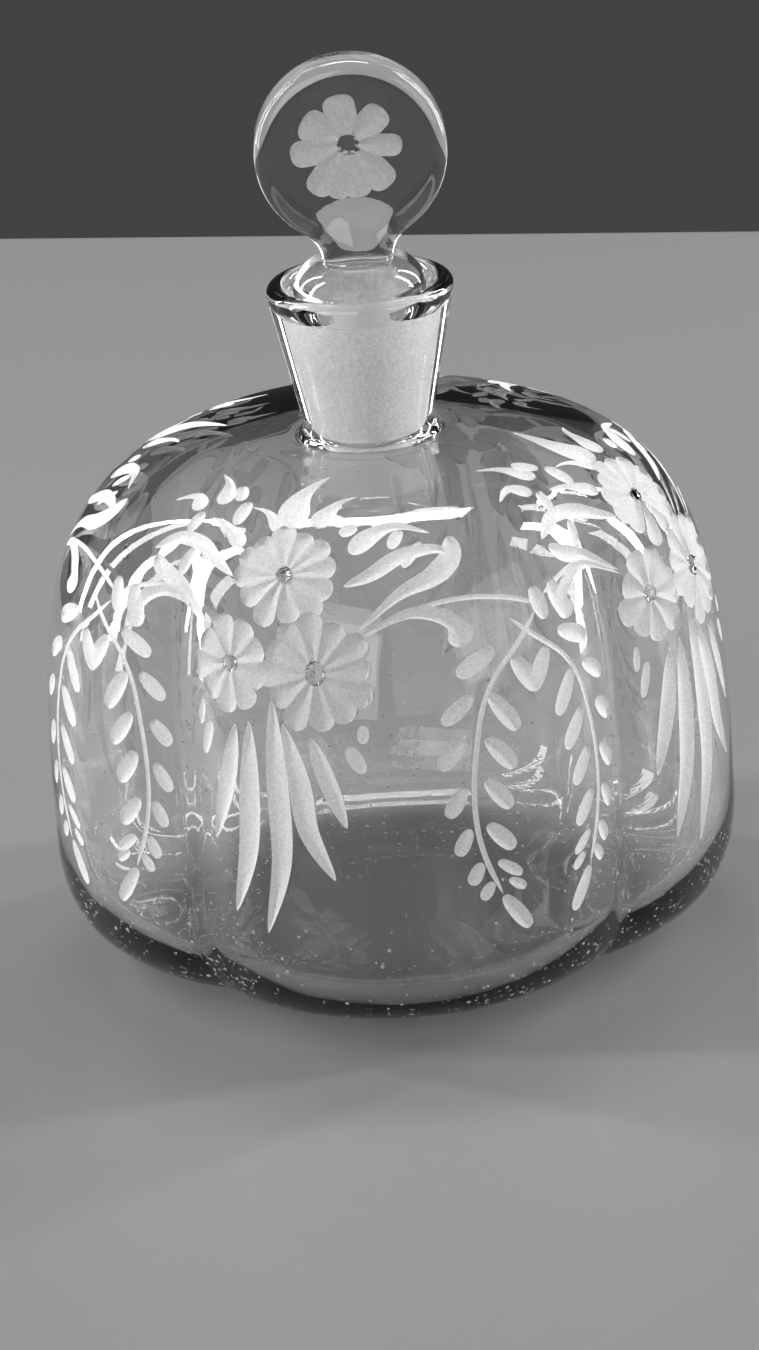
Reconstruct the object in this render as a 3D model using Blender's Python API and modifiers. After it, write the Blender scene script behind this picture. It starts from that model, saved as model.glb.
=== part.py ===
"""Lobed blown-glass perfume bottle with a ground-in disc stopper.

Metres, +Z up. The origin is the middle of the flat base, on the turning axis.
The front of the bottle and the face of the stopper's disc look along -Y.
"""

import math

import bmesh
import bpy
from mathutils import Matrix

# Body of the bottle
BODY_RADIUS = 0.0525  # crest of a lobe, at the widest height
CREST_HEIGHT = 0.0222  # height of the widest place
SHOULDER_HEIGHT = 0.0815  # top of the shoulder, where the neck starts
FOOT_RADIUS = 0.0260  # flat that the bottle stands on
LOWER_ROUNDNESS = 2.85  # superellipse exponents, 2 is an ellipse
UPPER_ROUNDNESS = 3.3
LOBES = 4
LOBE_OFFSET = 0.31  # middle of a lobe's round from the axis, as a share of the crest's radius
VALLEY_WIDTH = 0.05  # 0 is a crease, 1 a wave
VALLEY_FADE = 4.0  # how late the valleys fade out up the shoulder
LOBE_TURN = math.radians(2.3)  # turns the front lobe towards +X
WALL = 0.0024
BASE_THICKNESS = 0.0034
FLOOR_CORNER = 0.0024  # how far the inner floor's edge lies inside the foot

# Neck
NECK_HEIGHT = 0.0237  # shoulder to the top of the lip
NECK_ROOT_RADIUS = 0.0095
MOUTH_RADIUS = 0.0142
NECK_FILLET = 0.0018
LIP_WIDTH = 0.0029
THROAT_ROUNDING = 0.0012  # where the bore opens into the body

# Ground seat
PLUG_RADIUS = 0.0074  # top of the ground plug
PLUG_LENGTH = 0.0168
PLUG_TAPER = 0.115  # radius lost per length
PLUG_ROUNDING = 0.0010
SEAT_GAP = 0.0003
SEAT_DEPTH = 0.0044  # top of the plug below the top of the lip
COLLAR_RIM = 0.0010  # height of the collar's round edge
FUNNEL_GAP = 0.0012  # collar to the mouth, sideways

# Stopper above the seat
DOME_HEIGHT = 0.0042
SHANK_RADIUS = 0.0057
SHANK_LENGTH = 0.0023
DISC_RADIUS = 0.0145
DISC_THICKNESS = 0.0084
DISC_ROUNDING = 0.0022
DISC_ROOT = 0.0052  # how far the shank's round end runs into the disc

TURN_STEPS = 64
STOPPER_STEPS = 24
DISC_STEPS = 36
WELD = 0.00001

# Heights and radii that follow from the sizes above
LIP_TOP = SHOULDER_HEIGHT + NECK_HEIGHT
PLUG_TOP = LIP_TOP - SEAT_DEPTH
PLUG_TIP_RADIUS = PLUG_RADIUS - PLUG_TAPER * PLUG_LENGTH
MOUTH_INNER_RADIUS = MOUTH_RADIUS - LIP_WIDTH
COLLAR_RADIUS = MOUTH_INNER_RADIUS - FUNNEL_GAP
FUNNEL_HEIGHT = LIP_TOP - LIP_WIDTH / 2 - PLUG_TOP
FUNNEL_SLOPE = FUNNEL_HEIGHT / (MOUTH_INNER_RADIUS - PLUG_RADIUS - SEAT_GAP)
COLLAR_UNDERSIDE = (COLLAR_RADIUS - PLUG_RADIUS) * FUNNEL_SLOPE + 2 * SEAT_GAP


def clear_scene():
    for obj in list(bpy.data.objects):
        bpy.data.objects.remove(obj)


def collection(name):
    made = bpy.data.collections.new(name)
    bpy.context.scene.collection.children.link(made)
    return made


def glass(name, roughness):
    material = bpy.data.materials.new(name)
    material.use_nodes = True
    shader = material.node_tree.nodes["Principled BSDF"]
    shader.inputs["Base Color"].default_value = (0.93, 0.95, 0.95, 1.0)
    shader.inputs["Roughness"].default_value = roughness
    shader.inputs["Metallic"].default_value = 0.0
    shader.inputs["IOR"].default_value = 1.5
    shader.inputs["Transmission Weight"].default_value = 1.0
    return material


def arc(centre, radius, start_deg, end_deg, steps):
    """Points of a circle's arc as (r, z), both ends included."""
    turns = [math.radians(start_deg + (end_deg - start_deg) * i / steps) for i in range(steps + 1)]
    return [(centre[0] + radius * math.cos(a), centre[1] + radius * math.sin(a)) for a in turns]


def bulge(start, end, roundness, steps):
    """Quarter of a superellipse from start, where it runs upright, to end, where it runs level."""
    points = []
    for i in range(steps + 1):
        a = math.pi / 2 * i / steps
        out = math.cos(a) ** (2 / roundness) if i < steps else 0.0
        along = math.sin(a) ** (2 / roundness)
        points.append((end[0] + (start[0] - end[0]) * out, start[1] + (end[1] - start[1]) * along))
    return points


def bore_radius(height):
    """Radius of the ground bore, which follows the plug with its gap."""
    return PLUG_RADIUS + SEAT_GAP - PLUG_TAPER * (PLUG_TOP - height)


def neck_radius(height):
    """Outer radius of the neck, a cone that widens to the mouth."""
    share = (height - SHOULDER_HEIGHT) / NECK_HEIGHT
    return NECK_ROOT_RADIUS + (MOUTH_RADIUS - NECK_ROOT_RADIUS) * share


def inner_side():
    """The hollow, from the middle of its floor up to the mouth, as (r, z)."""
    crest = (BODY_RADIUS - WALL, CREST_HEIGHT)
    roof = SHOULDER_HEIGHT - WALL
    throat = bore_radius(roof)
    floor = bulge(crest, (FOOT_RADIUS - FLOOR_CORNER, BASE_THICKNESS), LOWER_ROUNDNESS, 6)[::-1]
    dome = bulge(crest, (throat + THROAT_ROUNDING, roof), UPPER_ROUNDNESS, 9)[1:]
    rounding = arc((throat + THROAT_ROUNDING, roof + THROAT_ROUNDING), THROAT_ROUNDING, 270, 180, 2)
    seat = [(bore_radius(PLUG_TOP), PLUG_TOP)]
    return [(0.0, BASE_THICKNESS)] + floor + dome + rounding[1:] + seat


def lip():
    """The round lip, from the mouth's inner edge over to the outer edge, as (r, z)."""
    middle = (MOUTH_RADIUS - LIP_WIDTH / 2, LIP_TOP - LIP_WIDTH / 2)
    return arc(middle, LIP_WIDTH / 2, 180, 0, 6)


def outer_side():
    """The outside, from under the lip down to the middle of the base, as (r, z)."""
    foot_of_cone = SHOULDER_HEIGHT + NECK_FILLET
    cone = [(neck_radius(LIP_TOP - 0.4 * NECK_HEIGHT), LIP_TOP - 0.4 * NECK_HEIGHT)]
    cone.append((neck_radius(foot_of_cone), foot_of_cone))
    fillet_middle = (neck_radius(foot_of_cone) + NECK_FILLET, foot_of_cone)
    fillet = arc(fillet_middle, NECK_FILLET, 180, 270, 3)[1:]
    crest = (BODY_RADIUS, CREST_HEIGHT)
    dome = bulge(crest, (fillet_middle[0], SHOULDER_HEIGHT), UPPER_ROUNDNESS, 11)[::-1]
    lower = bulge(crest, (FOOT_RADIUS, 0.0), LOWER_ROUNDNESS, 8)
    return cone + fillet + dome[1:] + lower[1:] + [(0.0, 0.0)]


def stopper_side():
    """The turned stopper from its round top down to the plug's tip, from the lip's top as zero."""
    seat = PLUG_TOP - LIP_TOP
    rim_top = seat + COLLAR_UNDERSIDE + COLLAR_RIM
    dome_top = rim_top + DOME_HEIGHT
    shank_top = dome_top + SHANK_LENGTH
    top = bulge((SHANK_RADIUS, shank_top), (0.0, shank_top + DISC_ROOT), 2.0, 5)[::-1]
    dome = bulge((COLLAR_RADIUS, rim_top), (SHANK_RADIUS, dome_top), 1.7, 6)[::-1]
    tip_height = seat - PLUG_LENGTH
    tip_middle = (PLUG_TIP_RADIUS - PLUG_ROUNDING, tip_height + PLUG_ROUNDING)
    tip = arc(tip_middle, PLUG_ROUNDING, 0, -90, 3)
    return top + dome + [(COLLAR_RADIUS, rim_top - COLLAR_RIM), (PLUG_RADIUS, seat)] + tip + [(0.0, tip_height)]


def lobed_share(angle):
    """Share of the crest's radius at this angle: each lobe is a round about a middle off the axis."""
    wave = math.hypot(math.cos(LOBES * angle / 2), VALLEY_WIDTH) / math.hypot(1.0, VALLEY_WIDTH)
    off_crest = 2 / LOBES * math.acos(min(wave, 1.0))
    round_share = math.sqrt((1.0 - LOBE_OFFSET) ** 2 - (LOBE_OFFSET * math.sin(off_crest)) ** 2)
    return LOBE_OFFSET * math.cos(off_crest) + round_share


def valley_fade(height):
    """1 up the body, falling to 0 where the shoulder meets the neck."""
    share = (height - CREST_HEIGHT) / (SHOULDER_HEIGHT - CREST_HEIGHT)
    return 1.0 - min(max(share, 0.0), 1.0) ** VALLEY_FADE


def turned(name, profile, steps, group):
    """A profile of (r, z) points turned about Z, as an object with a plain mesh."""
    line = bpy.data.meshes.new(name + "_profile")
    line.from_pydata([(r, 0.0, z) for r, z in profile], [(i, i + 1) for i in range(len(profile) - 1)], [])
    guide = bpy.data.objects.new(name + "_profile", line)
    group.objects.link(guide)
    screw = guide.modifiers.new("turn", "SCREW")
    screw.steps = steps
    screw.render_steps = steps
    screw.use_merge_vertices = True
    screw.merge_threshold = WELD
    bpy.context.view_layer.update()
    mesh = bpy.data.meshes.new_from_object(guide.evaluated_get(bpy.context.evaluated_depsgraph_get()))
    mesh.name = name
    bpy.data.objects.remove(guide)
    obj = bpy.data.objects.new(name, mesh)
    group.objects.link(obj)
    return obj


def press_lobes(mesh):
    """Draws the turned wall in between the lobes, inside and outside alike."""
    shape = bmesh.new()
    shape.from_mesh(mesh)
    for vert in shape.verts:
        drawn_in = 1.0 - lobed_share(math.atan2(vert.co.x, -vert.co.y))
        keep = 1.0 - drawn_in * valley_fade(vert.co.z)
        vert.co.x *= keep
        vert.co.y *= keep
    bmesh.ops.rotate(shape, verts=shape.verts, matrix=Matrix.Rotation(LOBE_TURN, 3, "Z"))
    shape.to_mesh(mesh)
    shape.free()


def make_bottle(group):
    profile = inner_side() + lip() + outer_side()
    bottle = turned("bottle", profile, TURN_STEPS, group)
    press_lobes(bottle.data)
    bottle.data.materials.append(glass("clear_glass", 0.02))
    bottle.data.shade_smooth()
    bottle.data.set_sharp_from_angle(angle=math.radians(35))
    return bottle


def make_disc(group, centre_height):
    """The upright disc that is joined to the turned stopper."""
    bpy.ops.mesh.primitive_cylinder_add(
        vertices=DISC_STEPS,
        radius=DISC_RADIUS,
        depth=DISC_THICKNESS,
        location=(0.0, 0.0, centre_height),
        rotation=(math.pi / 2, 0.0, 0.0),
    )
    disc = bpy.context.object
    disc.name = "disc_for_stopper"
    for owner in list(disc.users_collection):
        owner.objects.unlink(disc)
    group.objects.link(disc)
    rounding = disc.modifiers.new("rim", "BEVEL")
    rounding.width = DISC_ROUNDING
    rounding.segments = 3
    rounding.limit_method = "ANGLE"
    disc.hide_render = True
    disc.display_type = "WIRE"
    return disc


def make_stopper(group, cutters):
    stopper = turned("stopper", stopper_side(), STOPPER_STEPS, group)
    stopper.location = (0.0, 0.0, LIP_TOP)
    shank_top = PLUG_TOP + COLLAR_UNDERSIDE + COLLAR_RIM + DOME_HEIGHT + SHANK_LENGTH
    join = stopper.modifiers.new("disc", "BOOLEAN")
    join.operation = "UNION"
    join.solver = "EXACT"
    join.object = make_disc(cutters, shank_top + DISC_RADIUS)
    stopper.data.materials.append(glass("stopper_glass", 0.05))
    stopper.data.shade_smooth()
    return stopper


def main():
    clear_scene()
    parts = collection("perfume_bottle")
    cutters = collection("cutters")
    make_bottle(parts)
    make_stopper(parts, cutters)


main()
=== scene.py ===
"""A lobed, blown-glass perfume bottle with engraved flower sprays and a ground-in disc stopper."""

import math
import random

import bmesh
import bpy
import numpy as np
from mathutils import Matrix, Vector
from mathutils.geometry import delaunay_2d_cdt


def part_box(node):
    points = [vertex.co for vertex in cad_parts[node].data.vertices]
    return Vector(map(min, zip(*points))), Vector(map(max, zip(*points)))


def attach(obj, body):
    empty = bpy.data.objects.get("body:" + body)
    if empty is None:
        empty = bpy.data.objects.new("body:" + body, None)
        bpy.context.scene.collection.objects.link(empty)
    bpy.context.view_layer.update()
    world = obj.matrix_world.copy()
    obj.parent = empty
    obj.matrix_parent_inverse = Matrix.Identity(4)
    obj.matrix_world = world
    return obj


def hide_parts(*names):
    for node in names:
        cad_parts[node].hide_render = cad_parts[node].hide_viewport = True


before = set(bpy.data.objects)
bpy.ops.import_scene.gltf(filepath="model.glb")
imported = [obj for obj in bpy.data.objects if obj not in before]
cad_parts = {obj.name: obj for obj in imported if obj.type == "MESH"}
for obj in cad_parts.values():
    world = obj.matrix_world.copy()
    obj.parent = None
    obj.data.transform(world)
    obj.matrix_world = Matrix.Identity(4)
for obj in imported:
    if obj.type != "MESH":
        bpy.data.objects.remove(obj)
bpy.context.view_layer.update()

# Lengths are millimetres until a mesh is made, and angles round the bottle are degrees from its front.
MM = 0.001
LIP_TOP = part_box("bottle")[1].z / MM
PLUG_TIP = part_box("stopper")[0].z / MM
DISC_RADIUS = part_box("stopper")[1].x / MM
DISC_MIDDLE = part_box("stopper")[1].z / MM - DISC_RADIUS

# Body
BODY_RADIUS = 52.5
CREST_HEIGHT = 22.2
SHOULDER_HEIGHT = LIP_TOP - 23.7
FOOT_RADIUS = 26.0
LOWER_ROUNDNESS = 2.85
UPPER_ROUNDNESS = 3.3
LOBES = 4
LOBE_OFFSET = 0.31
VALLEY_WIDTH = 0.05
INNER_VALLEY_WIDTH = 1.5 * VALLEY_WIDTH
VALLEY_FADE = 4.0
LOBE_TURN = 2.3
WALL = 2.4
BASE_THICKNESS = 3.4
FLOOR_CORNER = 2.4

# Neck and seat
NECK_ROOT_RADIUS = 9.5
MOUTH_RADIUS = 14.2
NECK_FILLET = 1.8
LIP_WIDTH = 2.9
THROAT_ROUNDING = 1.2
PLUG_RADIUS = 7.4
PLUG_TAPER = 0.115
PLUG_BAND = 2.4
SEAT_GAP = 0.3
SEAT_DEPTH = 4.4
PLUG_TOP = LIP_TOP - SEAT_DEPTH
COLLAR_RADIUS = MOUTH_RADIUS - LIP_WIDTH - 1.2
COLLAR_UNDERSIDE = 2.8
COLLAR_RIM = 1.0
DOME_HEIGHT = 4.2
SHANK_RADIUS = 5.7

# Finial disc
DISC_THICKNESS = 8.4
DISC_ROUNDING = 2.2
SHANK_ROOT = 4.4
SHANK_BLEND = 3.2

# Engraving: the belt it lies in is measured up the body's profile from the foot
SPRAYS = 4
ENGRAVED_FROM = 30.0
ENGRAVED_TO = 118.0
DEEPEST_CUT = 0.6
HUB_DEPTH = 0.8
HAND_SLIP = 0.25

# Seeds in the glass
SEED_DENSITY = 90000.0
SEED_SIZE = 0.22
SEED_FADE_HEIGHT = 20.0
SEEDED_TO = 80.0

# How finely the glass is meshed
BODY_STEPS = 304
NECK_STEPS = 180
PLUG_STEPS = NECK_STEPS // 2
DISC_STEPS = 144
ROW = 1.2
COARSER_FROM = 98.0
CLEARANCE = 0.45
DISC_CLEARANCE = 0.25
WELD = 0.008
BREAK_ANGLE = 24.0

# Finish of a face: 0 is clear glass, the others follow in this order
# the petal mark carries painted shade: its faces get a darker copy of the engraved glass
MARKS = ("cut", "petal", "ground")


# ---------------------------------------------------------------- profiles

def quarter(start, end, roundness, steps):
    """Quarter of a superellipse from start, where it runs upright, to end, where it runs level."""
    a = np.linspace(0.0, math.pi / 2, steps + 1)
    out = np.clip(np.cos(a), 0.0, 1.0) ** (2 / roundness)
    along = np.sin(a) ** (2 / roundness)
    return np.stack([end[0] + (start[0] - end[0]) * out, start[1] + (end[1] - start[1]) * along], 1)


def arc(middle, radius, start, end, steps):
    """Part of a circle, from one angle to the other."""
    a = np.radians(np.linspace(start, end, steps + 1))
    return np.stack([middle[0] + radius * np.cos(a), middle[1] + radius * np.sin(a)], 1)


def lengths(points):
    """Distance along a line of points, from its first point."""
    return np.concatenate([[0.0], np.cumsum(np.hypot(*np.diff(points, axis=0).T))])


def spaced(points, step):
    """The same line with its points evenly spaced."""
    along = lengths(points)
    wanted = np.linspace(0.0, along[-1], max(2, round(along[-1] / step) + 1))
    return np.stack([np.interp(wanted, along, points[:, k]) for k in (0, 1)], 1)


def neck_radius(height):
    """The neck's outside, a cone that widens to the mouth."""
    share = (height - SHOULDER_HEIGHT) / (LIP_TOP - SHOULDER_HEIGHT)
    return NECK_ROOT_RADIUS + (MOUTH_RADIUS - NECK_ROOT_RADIUS) * share


def bore_radius(height):
    """The ground bore, which follows the plug with its gap."""
    return PLUG_RADIUS + SEAT_GAP - PLUG_TAPER * (PLUG_TOP - height)


CONE_FOOT = SHOULDER_HEIGHT + NECK_FILLET
FILLET_RADIUS = neck_radius(CONE_FOOT) + NECK_FILLET
FINE = 1500
OUTSIDE = np.concatenate([
    quarter((BODY_RADIUS, CREST_HEIGHT), (FOOT_RADIUS, 0.0), LOWER_ROUNDNESS, FINE)[::-1],
    quarter((BODY_RADIUS, CREST_HEIGHT), (FILLET_RADIUS, SHOULDER_HEIGHT), UPPER_ROUNDNESS, FINE)[1:],
])
ALONG = lengths(OUTSIDE)
SLOPE = np.gradient(OUTSIDE, axis=0)
SLOPE /= np.hypot(SLOPE[:, 0], SLOPE[:, 1])[:, None]
SPREAD = np.concatenate([[0.0], np.cumsum(np.diff(ALONG) * 2 / (OUTSIDE[1:, 0] + OUTSIDE[:-1, 0]))])


def radius_at(s):
    return np.interp(s, ALONG, OUTSIDE[:, 0])


def height_at(s):
    return np.interp(s, ALONG, OUTSIDE[:, 1])


def body_profile(start, end, count):
    """Evenly spaced points (radius, height) on the body's outside."""
    s = np.linspace(start, end, count)
    return np.stack([radius_at(s), height_at(s)], 1)


def on_body(angle, s, sunk=0.0):
    """Points on the body's outside, s up its profile from the foot, sunk into the glass."""
    turn = np.radians(angle)
    lean_out = np.interp(s, ALONG, SLOPE[:, 1])
    lean_up = -np.interp(s, ALONG, SLOPE[:, 0])
    r = radius_at(s) - sunk * lean_out
    return np.stack([r * np.sin(turn), -r * np.cos(turn), height_at(s) - sunk * lean_up], 1)


def flatten(angle, s):
    """The body's skin spread out as a ring, true to shape everywhere."""
    turn = np.radians(angle)
    reach = np.exp(SPREAD[-1] - np.interp(s, ALONG, SPREAD))
    return np.stack([reach * np.sin(turn), -reach * np.cos(turn)], 1)


def unflatten(points):
    """Back from the ring to an angle and a length up the profile."""
    angle = np.degrees(np.arctan2(points[:, 0], -points[:, 1]))
    spread = SPREAD[-1] - np.log(np.hypot(points[:, 0], points[:, 1]))
    return angle, np.interp(spread, SPREAD, ALONG)


# ---------------------------------------------------------------- engraver's strokes

def smooth_line(points):
    """A soft curve through a few points."""
    points = np.array(points, float)
    if len(points) == 2:
        return points
    before = np.concatenate([2 * points[:1] - points[1:2], points, 2 * points[-1:] - points[-2:-1]])
    t = np.linspace(0.0, 1.0, 9)[:-1, None]
    runs = []
    for a, b, c, d in zip(before, before[1:], before[2:], before[3:]):
        runs.append(0.5 * (2 * b + (c - a) * t + (2 * a - 5 * b + 4 * c - d) * t**2
                           + (3 * b - a - 3 * c + d) * t**3))
    return np.concatenate(runs + [points[-1:]])


# A form gives a cut's width along its length, t running from 0 to 1.

def blade(t):
    return np.clip(4 * t * (1 - t), 0, 1) ** 0.7 * (1.1 - 0.2 * t)


def oval(t):
    return np.clip(4 * t * (1 - t), 0, 1) ** 0.42


def hub_dimple(t):
    """The polished hollow in a flower's middle."""
    return oval(t)


def leaf(t):
    return np.clip(4 * t * (1 - t), 0, 1) ** 0.38 * (0.85 + 0.2 * t)


def stem(t):
    return np.clip(12 * t, 0, 1) ** 0.5 * np.clip(12 * (1 - t), 0, 1) ** 0.5


def petal(t):
    """Widens from the hub like a slice of the flower, with a round end."""
    end = np.clip((1 - t) / 0.25, 0, 1)
    return np.clip(0.26 + 1.0 * t, 0, 1) * np.sqrt(end * (2 - end))


def broad_petal(t):
    """A petal that is wide over most of its length, as the finial's flower has them."""
    end = np.clip((1 - t) / 0.24, 0, 1)
    return np.clip(0.34 + 1.5 * t, 0, 1) * (end * (2 - end)) ** 0.4


def drop(t):
    """Round head at the start and a long thin tail."""
    head = np.sqrt(np.clip(t / 0.22, 0, 1) * (2 - np.clip(t / 0.22, 0, 1)))
    return head * (0.16 + 0.84 * np.clip((1 - t) / 0.72, 0, 1) ** 1.5) * np.clip((1 - t) * 9, 0, 1) ** 0.5


def scroll(t):
    """Round ball at the start, then a narrower line that runs out in a long taper."""
    ball = np.sqrt(np.clip(t / 0.09 * (2 - t / 0.09), 0, 1))
    line = 0.6 * np.clip(14 * t, 0, 1) ** 0.5 * np.clip((1 - t) / 0.75, 0, 1) ** 0.8
    return np.maximum(ball, line)


class Stroke:
    """One cut of the engraver's wheel: a line, a width along it and a hollow across it."""

    def __init__(self, line, width, form, fineness=0.8):
        line = smooth_line(line)
        along = lengths(line)
        count = int(np.clip(round(along[-1] / fineness), 7, 34))
        t = (1 - np.cos(np.linspace(0, math.pi, count + 1))) / 2
        if form is stem:
            t = np.linspace(0, 1, count + 1)
        self.line = np.stack([np.interp(t * along[-1], along, line[:, k]) for k in (0, 1)], 1)
        self.half = form(t) * width / 2
        self.polished = form is hub_dimple
        # petal strokes later get the darker petal glass, which is painted shade
        self.petal = form in (petal, broad_petal)
        self.depth = HUB_DEPTH if self.polished else min(DEEPEST_CUT, 0.13 * width + 0.06)
        run = np.gradient(self.line, axis=0)
        run /= np.hypot(run[:, 0], run[:, 1])[:, None]
        self.side = np.stack([-run[:, 1], run[:, 0]], 1)

    def outline(self):
        """The cut's edge; a pointed end keeps only one point."""
        thin = 0.03
        left = self.line + self.side * self.half[:, None]
        right = (self.line - self.side * self.half[:, None])[::-1]
        if self.half[-1] < thin:
            right = right[1:]
        if self.half[0] < thin:
            right = right[:-1]
        return np.concatenate([left, right])

    def inside(self):
        """Points along the cut's floor, so that its hollow has something to bend."""
        wide = self.half > 0.3
        points = [self.line[wide]]
        broad = self.half > 0.9
        for share in (-0.55, 0.55):
            points.append((self.line + self.side * self.half[:, None] * share)[broad])
        return np.concatenate(points)

    def measure(self, points):
        """Distance of each point from the line, and the half width there."""
        start, run = self.line[:-1], np.diff(self.line, axis=0)
        size = np.maximum((run**2).sum(1), 1e-9)
        offset = points[:, None, :] - start[None]
        t = np.clip((offset * run[None]).sum(2) / size, 0, 1)
        away = np.hypot(*np.moveaxis(offset - t[..., None] * run[None], 2, 0))
        best = away.argmin(1)
        pick = np.arange(len(points))
        half = self.half[best] + (self.half[best + 1] - self.half[best]) * t[pick, best]
        return away[pick, best], np.maximum(half, 1e-3)

    def hollow(self, away, half):
        """How deep the wheel cut there: deepest on the line, nothing at the edge and the tips."""
        return self.depth * np.clip(half / 0.6, 0, 1) * np.clip(1 - (away / half) ** 2, 0, 1)


class Patch:
    """A stroke laid on the body: it works in millimetres round its own middle."""

    def __init__(self, line, width, form, turn):
        line = np.array(line, float)
        line[:, 0] += turn
        self.middle = line.mean(0)
        self.stroke = Stroke(self.to_flat(line[:, 0], line[:, 1]), width, form)
        margin = self.stroke.half.max() + 2 * CLEARANCE
        self.low = self.stroke.line.min(0) - margin
        self.high = self.stroke.line.max(0) + margin

    def to_flat(self, angle, s):
        away = (angle - self.middle[0] + 180) % 360 - 180
        return np.stack([np.radians(away) * radius_at(s), s - self.middle[1]], 1)

    def to_body(self, points):
        s = points[:, 1] + self.middle[1]
        return self.middle[0] + np.degrees(points[:, 0] / radius_at(s)), s

    def look(self, angle, s):
        """The points near this stroke, their distance to its line and its half width there."""
        flat = self.to_flat(angle, s)
        near = np.nonzero(((flat > self.low) & (flat < self.high)).all(1))[0]
        away, half = self.stroke.measure(flat[near])
        return near, away, half


def flower(middle, reach, petals, turn, hub, grow=1.0):
    """Strokes of one open flower: petals that overlap at their sides, and a hub."""
    made = []
    per_degree = math.radians(1) * float(radius_at(middle[1]))
    for i in range(petals):
        a = turn + 2 * math.pi * (i + 0.08 * math.sin(5.1 * i)) / petals
        out = reach * (1 + 0.07 * math.sin(3.7 * i + middle[0]))
        points = [(middle[0] + r * math.cos(a) / per_degree, middle[1] + r * math.sin(a))
                  for r in (0.16 * reach, out)]
        made.append((points, 1.74 * math.pi * reach / petals * grow, petal))
    tall, wide = hub
    made.append(([(middle[0], middle[1] - tall / 2), (middle[0], middle[1] + tall / 2)], wide, hub_dimple))
    return made


def garland(line, leaves, tip, mirror=None):
    """A hanging stem with leaves on both sides; mirror turns it about that angle."""
    strokes = [(line, 0.85, stem)]
    strokes += [([(a, b), (c, d)], 1.12 * w, leaf) for a, b, c, d, w in leaves]
    strokes.append((tip, 2.7, leaf))
    if mirror is not None:
        strokes = [([(2 * mirror - a, s) for a, s in points], w, form) for points, w, form in strokes]
    return strokes


GARLAND_STEM = [
    (27.0, 84.0), (22.5, 80.5), (17.0, 76.5), (13.6, 72.0), (11.8, 66.0), (10.8, 60.0), (10.8, 54.0),
    (12.0, 48.5), (14.6, 42.5),
]
GARLAND_LEAVES = [
    (17.0, 80.0, 9.6, 77.2, 2.7), (12.0, 73.8, 6.3, 70.4, 2.5), (9.4, 67.0, 5.2, 63.6, 2.7),
    (9.3, 60.2, 6.0, 56.0, 2.5), (9.6, 53.8, 7.3, 49.8, 2.3), (11.2, 48.2, 9.2, 44.9, 2.2),
    (13.0, 44.8, 10.9, 42.3, 1.9), (20.2, 78.2, 24.6, 72.4, 2.9), (14.9, 73.6, 19.8, 67.4, 2.7),
    (13.6, 67.2, 18.6, 61.8, 2.7), (12.8, 61.0, 17.3, 55.8, 2.6), (12.6, 54.0, 17.3, 49.4, 2.5),
    (14.0, 47.9, 18.3, 45.1, 1.7), (15.8, 44.7, 18.9, 42.8, 1.5),
]
GARLAND_TIP = [(14.6, 42.3), (19.4, 36.3)]


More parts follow.
